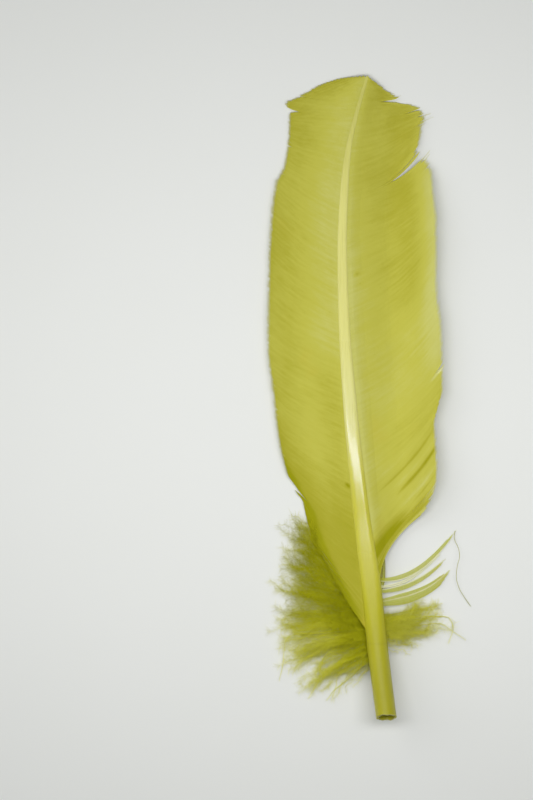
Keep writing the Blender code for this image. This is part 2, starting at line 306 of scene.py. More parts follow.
# The left vane, the wider one. It is a row of flat barbs that grow from the shaft's side and
# are zipped edge to edge into one sheet, which dips to the table and curls up at its edge. The
# sheet is torn open along a few barbs.
ROOT_IN_SHAFT, ROOT_HEIGHT, ROOT_BELOW_TOP = 0.36, 0.76, 0.55
STEEP_END, DIP_END, STEEP_SHARE = 5, 17, 0.2
CURL_START, CURL_FULL, CURL_HEIGHT = 14, 36, 8
TIP_FLATTENS, FLAT_PAST, TIP_FLATNESS = (200, 240), 10, 0.8
FOOT_ENDS, FOOT_SLOPE, FOOT_HEIGHT = (95, 140), (3, 28), 5
SHEET_LEVEL, LOWEST_LEVEL = 0.38, 0.15
SWELL_HEIGHT, SWELL_LENGTH = 0.18, 26
RIPPLE_HEIGHT, RIPPLE_LENGTH = 0.04, 6
WANDER_WAVES = 6
LIP_WIDTH, SMALL_SPLITS = 1.3, 24
BARB_POINTS = 25
BARB_OVERLAP, BARB_HALF_WIDTHS = 0.64, (0.11, 0.42)
BARB_RIDGE, BARB_KEEL, BARB_UNEVENNESS = 0.36, 0.30, 0.012
BARB_TILT = math.radians(9)
LEFT_COUNT, LEFT_LOOSENESS = 520, 1.0
# Rows of the place along the shaft where a barb starts, where its tip lies (across, along), and
# its lean in degrees from straight along as it leaves the shaft and as it ends
LEFT_BARBS = (
    (34.3, -23.0, 76.0, 34, 14), (55.8, -24.2, 80.3, 44, 20), (67.5, -26.0, 87.0, 54, 34),
    (73.3, -31.4, 94.8, 58, 42), (92.0, -35.3, 110.8, 62, 44), (112.3, -37.4, 129.1, 66, 46),
    (128.7, -39.3, 145.1, 68, 48), (161.8, -38.8, 180.2, 66, 48), (191.1, -36.3, 208.3, 64, 50),
    (204.0, -32.8, 215.7, 66, 56), (225.0, -31.0, 229.7, 76, 70), (230.1, -31.0, 233.2, 80, 76),
    (233.4, -30.8, 235.6, 84, 80), (236.0, -32.4, 239.1, 88, 82), (240.6, -25.4, 243.2, 88, 80),
    (244.5, -17.6, 247.3, 86, 78), (247.3, -9.0, 249.6, 84, 76), (249.2, -2.0, 250.0, 80, 76),
)
# Rows of the place along the shaft, the share of the barb that stays closed, how wide the split
# is at the edge, how far along the shaft barbs bend away, and how much longer its lower lip is
LEFT_SPLITS = ((70, 0.74, 2.6, 6, 0.02), (216, 0.86, 1.0, 4, 0.0), (234.6, 0.80, 2.4, 3, 0.0))


def bow(root, tip, start_lean, end_lean, t):
    """Curved ways in plan from roots to tips, which leave and arrive at the given leans."""
    reach = np.linalg.norm(tip - root, axis=-1, keepdims=True)
    leave = root + 0.4 * reach * np.stack([np.sin(start_lean), np.cos(start_lean)], -1)
    arrive = tip - 0.35 * reach * np.stack([np.sin(end_lean), np.cos(end_lean)], -1)
    root, leave, arrive, tip = (point[:, None] for point in (root, leave, arrive, tip))
    t = t[..., None]
    near_root = (1 - t) ** 3 * root + 3 * t * (1 - t) ** 2 * leave
    return near_root + 3 * t * t * (1 - t) * arrive + t**3 * tip


def vane_height(plan):
    """Height of a vane's lower face: it dips from the shaft to rest, then curls up. It lies
    flatter near the tip, and the foot of the right vane rises higher."""
    middle, _, _, width = shaft_at(np.clip(plan[..., 1], 0, LENGTH))
    outside = np.abs(plan[..., 0] - middle[..., 0]) - width / 2
    steep, gentle = (1 - ease(outside, -width / 6, end) for end in (STEEP_END, DIP_END))
    depth = width * DEPTH_OF_WIDTH
    dip = STEEP_SHARE * steep + (1 - STEEP_SHARE) * gentle
    dip *= np.minimum(ROOT_HEIGHT * depth, depth - ROOT_BELOW_TOP)
    curl = np.clip(outside - CURL_START, 0, None) / (CURL_FULL - CURL_START)
    near_tip = ease(plan[..., 1], *TIP_FLATTENS) * ease(outside, 0, FLAT_PAST)
    past = np.maximum(plan[..., 0] - middle[..., 0] - width / 2, 0)
    foot = FOOT_HEIGHT * (1 - ease(plan[..., 1], *FOOT_ENDS)) * ease(past, *FOOT_SLOPE)
    return dip + foot + (1 - TIP_FLATNESS * near_tip) * (middle[..., 2] + CURL_HEIGHT * curl**2)


def wander(along, length, chance):
    """A smooth random line along the shaft, from about -1 to 1, with swings of about that length."""
    swings = chance.uniform(0.6, 1.6, (WANDER_WAVES, 1)) * 2 * math.pi / length
    starts = chance.uniform(0, 2 * math.pi, (WANDER_WAVES, 1))
    return 1.6 * np.sin(along * swings + starts).mean(axis=0)


def vane_barbs(rows, side, count, splits, looseness, chance):
    """Ways of a vane's barbs, the barbs' places along the shaft, the share of a full barb at each
    point of a way, and how loose each barb is."""
    along = np.linspace(rows[0][0], rows[-1][0], count)
    tip_across, tip_along, start_lean, end_lean = smooth(rows, along)
    middle, sideways, _, width = shaft_at(along)
    root = (middle + side * ROOT_IN_SHAFT * width[:, None] * sideways)[:, :2]
    tip = np.stack([tip_across, tip_along], -1)
    # The edge is a little ragged, the lowest barbs are loose and shorter, and torn lips are longer
    whole = 1 - 0.045 * chance.random(count) ** 2 - 0.02 * (chance.random(count) > 0.95)
    whole += 0.007 * wander(along, 5, chance)
    loose = looseness * (1 - ease(along - along[0], 1, 18))
    whole -= 0.22 * loose * chance.random(count)
    for split, _, _, _, longer in splits:
        below = split - along
        whole += longer * np.clip(1 - below / LIP_WIDTH, 0, 1) * (below > 0)
    t = np.linspace(0, 1, BARB_POINTS) * whole[:, None]
    plan = bow(root, tip, side * np.radians(start_lean), side * np.radians(end_lean), t)
    # Small splits at random places come on top of the splits that the rows give
    small = zip(
        chance.uniform(along[0], along[-1], SMALL_SPLITS), chance.uniform(0.6, 0.93, SMALL_SPLITS),
        chance.uniform(0.1, 0.45, SMALL_SPLITS), chance.uniform(1, 3, SMALL_SPLITS),
        np.zeros(SMALL_SPLITS),
    )
    for split, closed, opening, reach, _ in (*splits, *small):
        away = along - split
        bend = 0.5 * opening * np.sign(away) * np.clip(1 - np.abs(away) / reach, 0, 1)
        plan[..., 1] += bend[:, None] * np.clip(t - closed, 0, None) / (1 - closed)
    plan[..., 0] += 0.9 * (loose * chance.standard_normal(count))[:, None] * t**2
    level = vane_height(plan) + SHEET_LEVEL
    level += SWELL_HEIGHT * wander(along, SWELL_LENGTH, chance)[:, None] * ease(t, 0.1, 0.5)
    level += RIPPLE_HEIGHT * wander(along, RIPPLE_LENGTH, chance)[:, None] * ease(t, 0.2, 0.9)
    level += BARB_UNEVENNESS * chance.standard_normal(count)[:, None]
    return np.dstack([plan, np.maximum(level, LOWEST_LEVEL)]), along, t, loose


def barb_widths(ways, t, loose):
    """Half the width of each barb. It reaches under its neighbours, unless it is loose, and ends
    in a point."""
    ahead = unit(np.gradient(ways[..., :2], axis=1))
    gap = np.gradient(ways[..., :2], axis=0)
    apart = np.abs(ahead[..., 0] * gap[..., 1] - ahead[..., 1] * gap[..., 0])
    thin = 1 - 0.5 * loose[:, None] * ease(t, 0.2, 0.7)
    return np.clip(BARB_OVERLAP * apart, *BARB_HALF_WIDTHS) * thin * (1 - 0.85 * ease(t, 0.92, 1.0))


def new_tree(name, sizes, result):
    """A new tree that makes a result from ways, sizes and a finish, and a wire from each of them."""
    tree = bpy.data.node_groups.new(name, "GeometryNodeTree")
    tree.interface.new_socket("Ways", in_out="INPUT", socket_type="NodeSocketGeometry")
    for label in sizes:
        tree.interface.new_socket(label, in_out="INPUT", socket_type="NodeSocketFloat")
    tree.interface.new_socket("Finish", in_out="INPUT", socket_type="NodeSocketMaterial")
    tree.interface.new_socket(result, in_out="OUTPUT", socket_type="NodeSocketGeometry")
    *wires, _ = (Wire(socket) for socket in tree.nodes.new("NodeGroupInput").outputs)
    return tree, wires


def stored(wire, name):
    """The number that points carry under a name."""
    return wire.node("GeometryNodeInputNamedAttribute", {"data_type": "FLOAT"}, {"Name": name})


def barb_tree():
    """The nodes that lay a flat, ridged barb along each way."""
    tree, (ways, ridge, keel, finish) = new_tree("flat barbs", ("Ridge", "Keel"), "Barbs")
    lines = ways.node("GeometryNodeMeshToCurve", values={"Mesh": ways})
    lines = ways.node("GeometryNodeSetCurveNormal", {"mode": "Z_UP"}, {"Curve": lines})
    lines = ways.node("GeometryNodeSetCurveTilt", values={"Curve": lines, "Tilt": stored(ways, "turn")})
    sizes = {"Width": 2, "Top Height": ridge, "Bottom Height": keel}
    outline = ways.node("GeometryNodeCurvePrimitiveQuadrilateral", {"mode": "KITE"}, sizes)
    side = ways.node("GeometryNodeInputPosition").parts()[0]
    outline = ways.node(
        "GeometryNodeStoreNamedAttribute", {"data_type": "FLOAT", "domain": "POINT"},
        {"Geometry": outline, "Name": "side", "Value": side},
    )
    size = stored(ways, "half_width")
    values = {"Curve": lines, "Profile Curve": outline, "Scale": size, "Fill Caps": True}
    skin = ways.node("GeometryNodeCurveToMesh", values=values)
    u = stored(ways, "number") + 0.4 * stored(ways, "side") * stored(ways, "share")
    flat = ways.node("ShaderNodeCombineXYZ", values={"X": u, "Y": stored(ways, "run")})
    skin = ways.node(
        "GeometryNodeStoreNamedAttribute", {"data_type": "FLOAT2", "domain": "CORNER"},
        {"Geometry": skin, "Name": "OFBake", "Value": flat},
    )
    skin = ways.node("GeometryNodeSetShadeSmooth", values={"Geometry": skin, "Shade Smooth": False})
    skin = ways.node("GeometryNodeRealizeInstances", values={"Geometry": skin})
    skin = ways.node("GeometryNodeSetMaterial", values={"Geometry": skin, "Material": finish})
    ways.feed(tree.nodes.new("NodeGroupOutput"), tree.interface.items_tree["Barbs"].identifier, skin)
    return tree


def grow(name, ways, values, tree, inputs):
    """Runs a tree on the ways, with the values stored at their points, and keeps its mesh."""
    count, steps = ways.shape[:2]
    number = np.arange(count * steps).reshape(count, steps)
    edges = np.stack([number[:, :-1], number[:, 1:]], -1).reshape(-1, 2).tolist()
    made = add_piece(name, ways.reshape(-1, 3), edges=edges)
    for label, value in values.items():
        carried = made.data.attributes.new(label, "FLOAT", "POINT")
        value = np.broadcast_to(value, (count, steps)).astype(np.float32)
        carried.data.foreach_set("value", value.ravel())
    modifier = made.modifiers.new(tree.name, "NODES")
    modifier.node_group = tree
    for label, value in inputs.items():
        modifier[tree.interface.items_tree[label].identifier] = value
    graph = bpy.context.evaluated_depsgraph_get()
    grown = bpy.data.meshes.new_from_object(made.evaluated_get(graph))
    made.modifiers.remove(modifier)
    made.data = grown
    return made


def add_barbs(name, ways, t, half_width, turn, dye, ridge, keel, finish):
    """One piece of many flat barbs. Ridge and keel are in half widths of a barb."""
    count = len(ways)
    values = {
        "half_width": half_width / MM_IN_METRE, "turn": turn, "dye": dye, "run": t,
        "number": (np.arange(count)[:, None] + 0.5) / count, "share": 1 / count,
    }
    return grow(name, ways, values, FLAT_BARBS, {"Ridge": ridge, "Keel": keel, "Finish": finish})


# The ramp of the barbs' colours. Cream also serves for painted highlights, and the dark end also for
# painted shade.
DYE_CREAM_AND_HIGHLIGHT = (0.80, 0.80, 0.52, 1)
DYE_PALE = (0.60, 0.595, 0.175, 1)
DYE_BODY = (0.535, 0.515, 0.074, 1)
DYE_DEEP = (0.42, 0.395, 0.028, 1)
DYE_DARK_AND_SHADE = (0.33, 0.325, 0.001, 1)
DYE_ORANGE = (0.57, 0.45, 0.04, 1)
DYE_GREEN = (0.50, 0.56, 0.035, 1)


def dyed_and_shaded_barbs(name, count, green=0.0):
    """Dyed barbs: the dye is deeper where it has pooled, and the dye attribute also carries painted
    shade and painted light. Fine lines run across each barb. The patterns follow the barbs, so their
    scales go by the number of barbs."""
    material, shader, place = new_finish(name)
    run = place.node("ShaderNodeUVMap", {"uv_map": "OFBake"})
    dye = place.node("ShaderNodeAttribute", {"attribute_name": "dye"}, output="Fac")
    streaks = run.stretched(count * 0.42, 6, 1).noise(detail=3, roughness=0.6)
    bands = run.stretched(count * 0.09, 1.6, 1).noise()
    hairs = run.stretched(count * 1.9, 90, 1).noise()
    cloud = place.noise(55, detail=3)
    orange = place.noise(38).between(0.62, 0.75)
    depth = dye + 0.30 * (streaks - 0.5) + 0.10 * (hairs - 0.5)
    depth = depth + 0.30 * (cloud - 0.5) + 0.24 * (bands - 0.5)
    colour = depth.between(-0.8, -0.3).mix(DYE_CREAM_AND_HIGHLIGHT, DYE_PALE)
    colour = depth.between(0.0, 0.42).mix(colour, DYE_BODY)
    colour = depth.between(0.38, 0.80).mix(colour, DYE_DEEP)
    colour = depth.between(0.76, 1.1).mix(colour, DYE_DARK_AND_SHADE)
    colour = (0.35 * orange).mix(colour, DYE_ORANGE)
    if green:
        fresh = depth.within(-0.6, -0.2, 0.6, 0.9)
        colour = (green * cloud * fresh).mix(colour, DYE_GREEN)
    specks = run.stretched(count * 0.8, 22, 1).noise(detail=1).between(0.73, 0.8)
    colour = (0.5 * specks).mix(colour, DYE_DEEP)
    place.feed(shader, "Base Color", colour)
    place.feed(shader, "Roughness", 0.62 + 0.14 * hairs)
    place.feed(shader, "Normal", (hairs + streaks).bump(0.2, 0.0001))
    shader.inputs["IOR"].default_value = 1.4
    return material


# Patches where the dye is deeper or paler, given by how much, where along the shaft the patch comes and
# goes, and at which shares of the barb it does. The pale ones at the roots are painted light against
# the shade beside the shaft. One that reaches an end of the shaft or the barb has FROM_START or TO_END
# there.
FROM_START, TO_END = (-2, -1), (300, 301)
EVERYWHERE = (*FROM_START, *TO_END)
LEFT_DYE = 0.40
LEFT_PATCHES = (
    (0.16, EVERYWHERE, (0.3, 0.9, *TO_END)), (0.06, (185, 240, *TO_END), EVERYWHERE),
    (-0.17, (124, 146, *TO_END), (*FROM_START, 0.15, 0.5)),
    # Painted light at the roots, against the shade beside the shaft
    (-0.04, EVERYWHERE, (*FROM_START, 0.02, 0.09)),
    (0.13, (62, 82, 124, 146), (*FROM_START, 0.15, 0.4)),
    (0.38, (*FROM_START, 60, 108), EVERYWHERE), (0.05, (95, 120, 160, 190), EVERYWHERE),
    (-0.16, (105, 130, 140, 160), (0.6, 0.95, *TO_END)),
)
# Across the foot of the left vane runs a dark band of painted shade, where the down lies beneath it,
# from these shares of the barb on, at these places
SHADED_FOOT_PLACES = (34, 40, 46, 50, 63, 73, 86)
SHADED_FOOT_SHARES = (0.05, 0.3, 0.48, 0.6, 0.8, 0.87, 1.1)
BARB_DYE, BARB_DYE_LENGTH = 0.03, 3
# A small dark speck: where it lies (across, along), and how much deeper its dye is
LEFT_SPECK, SPECK_RADIUS = (-7.4, 90.9, 0.8), 0.8


def dye_with_painted_light(place, t, dye, patches):
    """How deep the dye is at each point of the barbs, with the painted light that some patches add."""
    for deeper, places, shares in patches:
        dye = dye + deeper * within(place, *places) * within(t, *shares)
    return dye


def speck(ways, across, along, deeper):
    """How much deeper the dye is for a small dark speck."""
    away = np.hypot(ways[..., 0] - across, ways[..., 1] - along)
    return deeper * np.exp(-((away / SPECK_RADIUS) ** 2))


FLAT_BARBS = barb_tree()
chance = np.random.default_rng(7)
ways, along, t, loose = vane_barbs(LEFT_BARBS, -1, LEFT_COUNT, LEFT_SPLITS, LEFT_LOOSENESS, chance)
left_edge = ways[0]
place = along[:, None]
dye = dye_with_painted_light(place, t, LEFT_DYE, LEFT_PATCHES)
dye += 0.25 * loose[:, None] * chance.uniform(-1, 1, (LEFT_COUNT, 1))
# Painted shade in a band across the foot of the left vane
shaded_foot_from = np.interp(place, SHADED_FOOT_PLACES, SHADED_FOOT_SHARES)
dye += 0.5 * ease(t, shaded_foot_from - 0.22, shaded_foot_from + 0.12)
dye += BARB_DYE * wander(along, BARB_DYE_LENGTH, chance)[:, None] + speck(ways, *LEFT_SPECK)
left_vane = add_barbs(
    "left_vane", ways, t, barb_widths(ways, t, loose), BARB_TILT, dye,
    BARB_RIDGE, BARB_KEEL, dyed_and_shaded_barbs("dyed and shaded left vane", LEFT_COUNT),
)
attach(left_vane, "root")
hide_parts("feather")

# The right vane, the narrower one, whose barbs leave the shaft at a wider angle and bend up
# more. Its lowest barbs are bunched along the shaft, and it is torn open near the tip.
RIGHT_COUNT, RIGHT_LOOSENESS = 500, 0.3
RIGHT_BARBS = (
    (49.1, 21.8, 80.0, -4, 52), (52.4, 24.0, 84.0, 4, 44), (55.8, 25.6, 87.4, 14, 38),
    (60.5, 26.7, 91.6, 27, 33), (67.5, 27.2, 98.0, 38, 28),
    (85.8, 26.5, 115.8, 52, 30), (103.7, 29.6, 131.4, 60, 32), (120.9, 29.2, 150.5, 66, 34),
    (143.5, 27.2, 172.0, 68, 34), (163.0, 27.3, 190.7, 69, 35), (186.4, 26.0, 206.6, 72, 36),
    (193.0, 25.5, 212.2, 74, 37), (197.6, 24.5, 215.6, 75, 37), (201.8, 22.8, 219.0, 76, 38),
    (203.4, 19.0, 220.2, 76, 40), (207.5, 20.4, 223.8, 77, 43), (212.0, 21.3, 228.0, 79, 48),
    (217.5, 21.6, 231.2, 81, 56), (223.5, 22.7, 233.6, 84, 62), (228.0, 21.8, 236.0, 85, 70),
    (232.8, 20.0, 238.3, 85, 76), (239.5, 13.0, 240.6, 86, 80),
    (244.5, 7.8, 244.5, 84, 80), (249.2, 0.8, 249.4, 82, 80),
)
# Folds of its lowest barbs, which lie flat, so a fold is only painted shade and painted light on its
# crest, and last the pale lip of its lowest split: the place along the shaft, how much deeper the dye
# is, how wide the fold is, and the shares of the barb where it starts and ends
RIGHT_FOLD_SHADING = (
    (63, 0.78, 5.5, -0.1, 0.42), (59, 0.45, 4, 0.3, 0.9), (49.2, -0.4, 1.0, 0.22, 0.8),
    (53.5, 0.75, 3, -0.1, 0.2), (50.4, 0.5, 0.5, -0.1, 0.4),
    (67, 0.3, 0.8, 0.62, 0.95), (70, -0.14, 2.0, 0.3, 1.0),
    (76.6, 0.55, 0.9, 0.4, 1.05), (80.2, -0.15, 1.6, 0.3, 1.1), (84.2, 0.28, 0.7, 0.15, 0.9),
    (90, -0.1, 2.5, 0.15, 1.1), (110.0, -1.2, 0.45, 0.86, 1.2),
)
RIGHT_SPLITS = (
    (110.5, 0.82, 2.0, 6, 0.04), (198.5, 0.86, 0.8, 2, 0.0), (202.6, 0.50, 2.4, 7, 0.17),
    (219, 0.9, 0.7, 2, 0.06), (223.5, 0.86, 1.0, 2, 0.16), (227, 0.84, 1.0, 2, 0.16),
    (231, 0.72, 0.9, 2, 0.03), (240.2, 0.42, 2.2, 4, 0.03), (241.4, 0.7, 0.5, 2, 0.16),
    (243, 0.75, 0.5, 2, 0.08), (245.2, 0.8, 0.4, 1, 0.07), (246.8, 0.85, 0.4, 1, 0.06),
)
RIGHT_DYE = 0.38
RIGHT_PATCHES = (
    # The second patch on this line and the one below it are painted light at the roots, against the
    # shade beside the shaft
    (0.14, (165, 225, *TO_END), EVERYWHERE), (-0.08, EVERYWHERE, (*FROM_START, 0.02, 0.25)),
    (-0.15, (62, 75, *TO_END), (*FROM_START, 0.02, 0.11)),
    (0.10, (120, 165, *TO_END), (0.3, 0.6, *TO_END)),
    (0.14, (130, 160, 195, 215), (0.15, 0.4, 0.7, 0.95)),
    (-0.42, (95, 150, 190, 210), (0.62, 0.98, *TO_END)),
    (-0.15, (203, 210, *TO_END), (0.8, 1, *TO_END)),
    (0.10, (72, 84, 95, 120), (0.15, 0.4, *TO_END)),
    (-0.05, (100, 115, 130, 150), (0.08, 0.2, *TO_END)),
)
RIGHT_SPECK = (-3.5, 173.2, 0.6)

ways, along, t, loose = vane_barbs(RIGHT_BARBS, 1, RIGHT_COUNT, RIGHT_SPLITS, RIGHT_LOOSENESS, chance)
right_edge = ways[0]
place = along[:, None]
dye = dye_with_painted_light(place, t, RIGHT_DYE, RIGHT_PATCHES)
dye += 1.6 * loose[:, None] * chance.uniform(-1, 1, (RIGHT_COUNT, 1))
# Painted shade and painted light of the folds
for shaded_fold, deeper, width, start, end in RIGHT_FOLD_SHADING:
    reach = within(t, start - 0.1, start + 0.14, end - 0.2, end + 0.16)
    dye += deeper * np.exp(-(((place - shaded_fold) / width) ** 2)) * reach
dye += BARB_DYE * wander(along, BARB_DYE_LENGTH, chance)[:, None] + speck(ways, *RIGHT_SPECK)
right_vane = add_barbs(
    "right_vane", ways, t, barb_widths(ways, t, loose), -BARB_TILT, dye,
    BARB_RIDGE, BARB_KEEL, dyed_and_shaded_barbs("dyed and shaded right vane", RIGHT_COUNT),
)
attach(right_vane, "root")
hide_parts("feather")

# The loose strands at the foot of the right vane. Each is a few barbs that are still zipped
# together. The first one ends in a long curled hair, and the last lies along the shaft.
STRAND_RIDGE, HAIR_HALF_WIDTH = 0.5, 0.09
# Rows of the place along the shaft, where the strand ends (across, along), its leans in degrees,
# its width and the number of its barbs
STRANDS = (
    (54.0, 34.8, 73.4, 96, 38, 2.2, 5), (51.2, 29.8, 65.4, 92, 46, 1.4, 2),
    (49.4, 30.6, 62.2, 88, 44, 2.2, 5), (45.0, 32.2, 58.0, 84, 36, 4.6, 10),
    (47.0, 5.2, 70.0, 14, -8, 2.6, 5),
)
HAIR = np.array((
    (34.2, 73.0), (33.9, 70.2), (35.6, 66.0), (35.9, 63.2), (35.0, 59.6), (34.6, 55.4),
    (35.6, 51.2), (38.0, 47.0), (40.4, 43.6),
))
# The dye of the paler barbs, which are painted highlights along the strands, of the last strand's barbs
# and of the hair
HIGHLIGHT_BARBS = {0: -0.9, 5: -1.2, 6: -1.0, 11: -0.9, 18: -0.6}
LAST_DYES, HAIR_DYE = (1.1, 0.6, 1.2, 0.9, 1.1), 1.1


def smooth_way(points, steps):
    """A smooth curve through points, read at steps from 0 to 1."""
    rows = np.column_stack([np.linspace(0, 1, len(points)), points])
    return np.stack(smooth(rows, steps), -1)


def strand_barbs(row, chance):
    """Ways of a strand's barbs, which run side by side into one point, and their half widths."""
    along, tip_across, tip_along, start_lean, end_lean, width, count = row
    middle, sideways, _, shaft_width = shaft_at(np.array([along]))
    root = (middle + 0.3 * shaft_width[:, None] * sideways)[:, :2]
    place = (np.arange(count) - (count - 1) / 2) / count
    whole = 1 - 0.5 * (np.abs(place) * chance.random(count))[:, None]
    t = np.linspace(0, 1, BARB_POINTS) * whole
    tip = np.array([[tip_across, tip_along]])
    spine = bow(root, tip, np.radians([start_lean]), np.radians([end_lean]), t)
    ahead = unit(np.gradient(spine, axis=1))
    across = np.stack([-ahead[..., 1], ahead[..., 0]], -1)
    fill = np.sqrt(1 - 0.96 * t**2) * (0.6 + 0.4 * ease(t, 0, 0.3))
    plan = spine + (place[:, None] * fill * width)[..., None] * across
    start_height = middle[0, 2] + 0.3 * shaft_width[0]
    level = 0.5 + start_height * (1 - ease(t, 0, 0.7)) + 0.25 * np.cos(place * 2.5)[:, None]
    return np.dstack([plan, level]), 0.38 * fill * width / count


strands = [strand_barbs(row, chance) for row in STRANDS]
ways = np.vstack([way for way, _ in strands])
half_width = np.vstack([width for _, width in strands])
steps = np.linspace(0, 1, BARB_POINTS)
hair = smooth_way(HAIR, steps)
hair_level = 0.5 + 2.5 * np.sin(np.linspace(0.2, 3.1, BARB_POINTS)) ** 2
ways = np.vstack([ways, np.column_stack([hair, hair_level])[None]])
half_width = np.vstack([half_width, np.full((1, BARB_POINTS), HAIR_HALF_WIDTH)])
dye = chance.uniform(0.0, 0.5, (len(ways), 1))
# Painted highlights: some barbs of the strands are cream
dye[list(HIGHLIGHT_BARBS), 0] = list(HIGHLIGHT_BARBS.values())
dye[-1 - len(LAST_DYES):, 0] = (*LAST_DYES, HAIR_DYE)
loose_strands = add_barbs(
    "loose_strands", ways, steps, half_width, 0.0, dye,
    STRAND_RIDGE, STRAND_RIDGE, dyed_and_shaded_barbs("dyed and highlighted loose strands", len(ways), green=0.8),
)
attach(loose_strands, "root")
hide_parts("feather")

# The down on both sides of the quill. Its barbs are thin, wavy and unzipped, and each carries
# rows of soft, hair-thin barbules, so that a tuft looks like smoke at its edge.
LEFT_DOWN_COUNT, RIGHT_DOWN_COUNT, DOWN_POINTS = 240, 56, 20
TIP_SPREAD, LEAN_SPREAD, PUFF_MOST = 2.4, 8, 3.0
STEM_HALF_WIDTH, LOOSE_HALF_WIDTH = 0.075, 0.18
BARBULE_LENGTH, BARBULE_GAP, BARBULE_ROOT = 4.4, 0.19, 0.055
# The share of a fan's barbs that are short and thin, those nearest to the cut end
SHORT_SHARE = (0, 0.38)
# Where across the vane's edge the down comes out from under it, and how low it lies there
HIDDEN_BY, HIDDEN_LEVEL = (-1.5, 0.5), 0.2
# The dye is deeper higher up the shaft and paler far outside the vane, between these places
DEEPER_UP, PALER_OUT = (24, 48), (7, 18)
LEFT_DEEPER, RIGHT_DEEPER = 0.6, -0.25
# Rows of the place along the shaft, where the barb ends (across, along), and its leans
LEFT_DOWN = (
    (48.6, -30.4, 68.4, -50, -58), (46.2, -32.2, 62.0, -58, -66), (43.8, -34.0, 55.4, -70, -60),
    (41.2, -35.8, 47.4, -74, -86), (38.6, -37.4, 39.0, -92, -80), (36.0, -35.2, 31.2, -84, -112),
    (33.4, -35.4, 21.4, -104, -122), (31.0, -27.6, 18.4, -98, -142), (28.8, -29.4, 11.6, -118, -104),
    (26.6, -22.4, 7.8, -112, -166), (24.6, -15.4, 6.8, -120, -150), (22.8, -9.6, 10.6, -124, -170),
    (51.0, -30.4, 75.0, -40, -52), (55.0, -31.6, 81.0, -28, -42), (20.5, -2.5, 7.5, -135, -178),
)
RIGHT_DOWN = (
    (40.0, 30.0, 46.0, 108, 36), (38.0, 20.0, 44.0, 104, 60), (35.6, 31.0, 40.4, 104, 48),
    (33.6, 20.0, 36.0, 100, 80), (31.0, 27.0, 29.4, 100, 78), (28.4, 15.0, 23.4, 112, 100),
)
# Single barbs that hang loose, each by the points (across, along) that it passes
LEFT_LOOSE = (
    ((-1.6, 30.4), (-10.1, 26.5), (-16.0, 24.6), (-17.9, 21.1), (-18.7, 15.6), (-23.0, 7.8)),
    ((0.8, 24.6), (-2.6, 20.4), (-5.5, 16.8), (-13.3, 10.5), (-14.6, 8.6), (-16.0, 7.0)),
    ((-2.3, 36.3), (-17.9, 33.5), (-27.7, 32.8), (-32.0, 29.6), (-32.8, 21.1), (-34.3, 14.8)),
    ((-1.6, 28.5), (-8.2, 24.6), (-11.3, 21.8), (-11.7, 16.8), (-12.1, 12.9), (-13.7, 7.8)),
)
RIGHT_LOOSE = (
    ((5.4, 41.0), (9.0, 40.6), (13.3, 41.3), (23.0, 42.9), (26.0, 43.6), (29.3, 44.9)),
    ((6.0, 31.0), (9.0, 31.8), (13.3, 33.2), (19.9, 37.1), (24.0, 39.4), (27.7, 41.0)),
    ((6.0, 36.0), (12.0, 35.8), (19.9, 36.3), (27.7, 37.1), (32.8, 34.3), (38.4, 30.6)),
    ((6.0, 38.5), (18.0, 39.6), (27.7, 39.8), (31.6, 39.4), (33.5, 35.1), (31.6, 29.3)),
)


def down_barbs(rows, count, chance):
    """Ways of the downy barbs, which fill the fan between the rows, the share of a full barb at
    each point, and how fluffy it is there."""
    rows = np.array(sorted(rows))
    side = np.sign(rows[0, 1])
    share = ((np.arange(count) + chance.random(count)) / count) ** 0.65
    order = (len(rows) - 1) * share
    fan = np.stack([np.interp(order, np.arange(len(rows)), column) for column in rows.T], -1)
    along = fan[:, 0] + chance.uniform(-1.3, 1.3, count)
    middle, sideways, _, width = shaft_at(along)
    root = (middle + side * 0.3 * width[:, None] * sideways)[:, :2]
    tip = fan[:, 1:3] + chance.normal(0, TIP_SPREAD, (count, 2))
    least = np.interp(share, SHORT_SHARE, (0.35, 0.62))
    whole = least + (1 - least) * chance.random(count) ** np.interp(share, SHORT_SHARE, (1.8, 0.7))
    t = np.linspace(0, 1, DOWN_POINTS) * whole[:, None]
    leans = np.radians(fan[:, 3:5] + chance.normal(0, LEAN_SPREAD, (count, 2)))
    plan = bow(root, tip, leans[:, 0], leans[:, 1], t)
    ahead = unit(np.gradient(plan, axis=1))
    across = np.stack([-ahead[..., 1], ahead[..., 0]], -1)
    waves, start = chance.uniform(1.5, 4, (count, 1)), chance.uniform(0, 6.3, (count, 1))
    swing = ease(t, 0.1, 0.9) * chance.uniform(0.3, 1.5, (count, 1)) * np.sin(6.3 * waves * t + start)
    plan += swing[..., None] * across
    start_height = (middle[:, 2] + 0.3 * width)[:, None]
    puff = chance.uniform(0.2, PUFF_MOST, (count, 1)) * ease(t, 0, 0.5)
    level = 0.35 + start_height * (1 - ease(t, 0, 0.7)) + puff * (1 - 0.6 * t)
    fluff = (1.1 - 0.4 * t) * np.interp(share, SHORT_SHARE, (0.45, 1))[:, None]
    return np.dstack([plan, level]), t, fluff


def outside_vane(ways, edge, side):
    """How far points lie outside the vane, whose lowest barb is its edge there."""
    return side * (ways[..., 0] - np.interp(ways[..., 1], edge[:, 1], edge[:, 0]))


def loose_barbs(rows, chance):
    """Ways of single barbs that hang loose and curl."""
    steps = np.linspace(0, 1, DOWN_POINTS)
    ways = []
    for row in np.array(rows):
        plan = smooth_way(row, steps)
        start_height = shaft_at(row[:1, 1])[0][0, 2] + 2
        level = 0.4 + start_height * (1 - ease(steps, 0, 0.5)) + chance.uniform(0.5, 1.5) * steps
        ways.append(np.column_stack([plan, level]))
    return np.array(ways)


